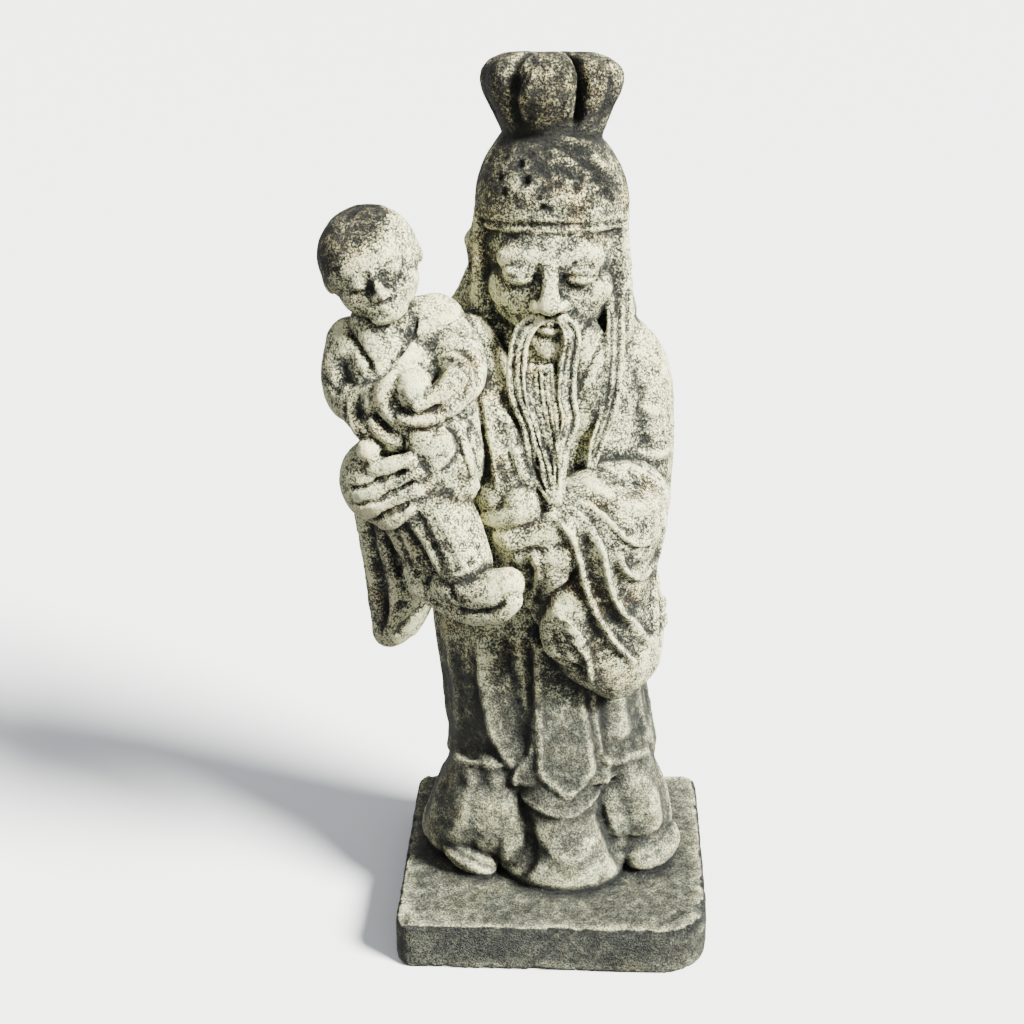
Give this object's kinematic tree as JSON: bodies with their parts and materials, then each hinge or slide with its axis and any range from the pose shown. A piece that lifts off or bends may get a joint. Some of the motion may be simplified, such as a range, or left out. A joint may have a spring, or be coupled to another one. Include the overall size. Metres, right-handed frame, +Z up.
{
  "type": "stone shou lao statue",
  "caption": "Carved stone statue of a bearded elder in a lobed cap and long robes who holds a seated child, on a square slab of the same block.",
  "frame": {"origin": "middle of the slab's underside", "axes": "+Z up along the figure; the figure looks along -Y; +X is the viewer's right, so the held child is on the -X side"},
  "size_m": [0.2612, 0.2305, 0.6087],
  "materials": {
    "stone": "carved grey-green stone, worn and matt, with a pale speckled crust on what stands out and dark hollows"
  },
  "bodies": {
    "root": {"statue": "stone"}
  },
  "joints": []
}
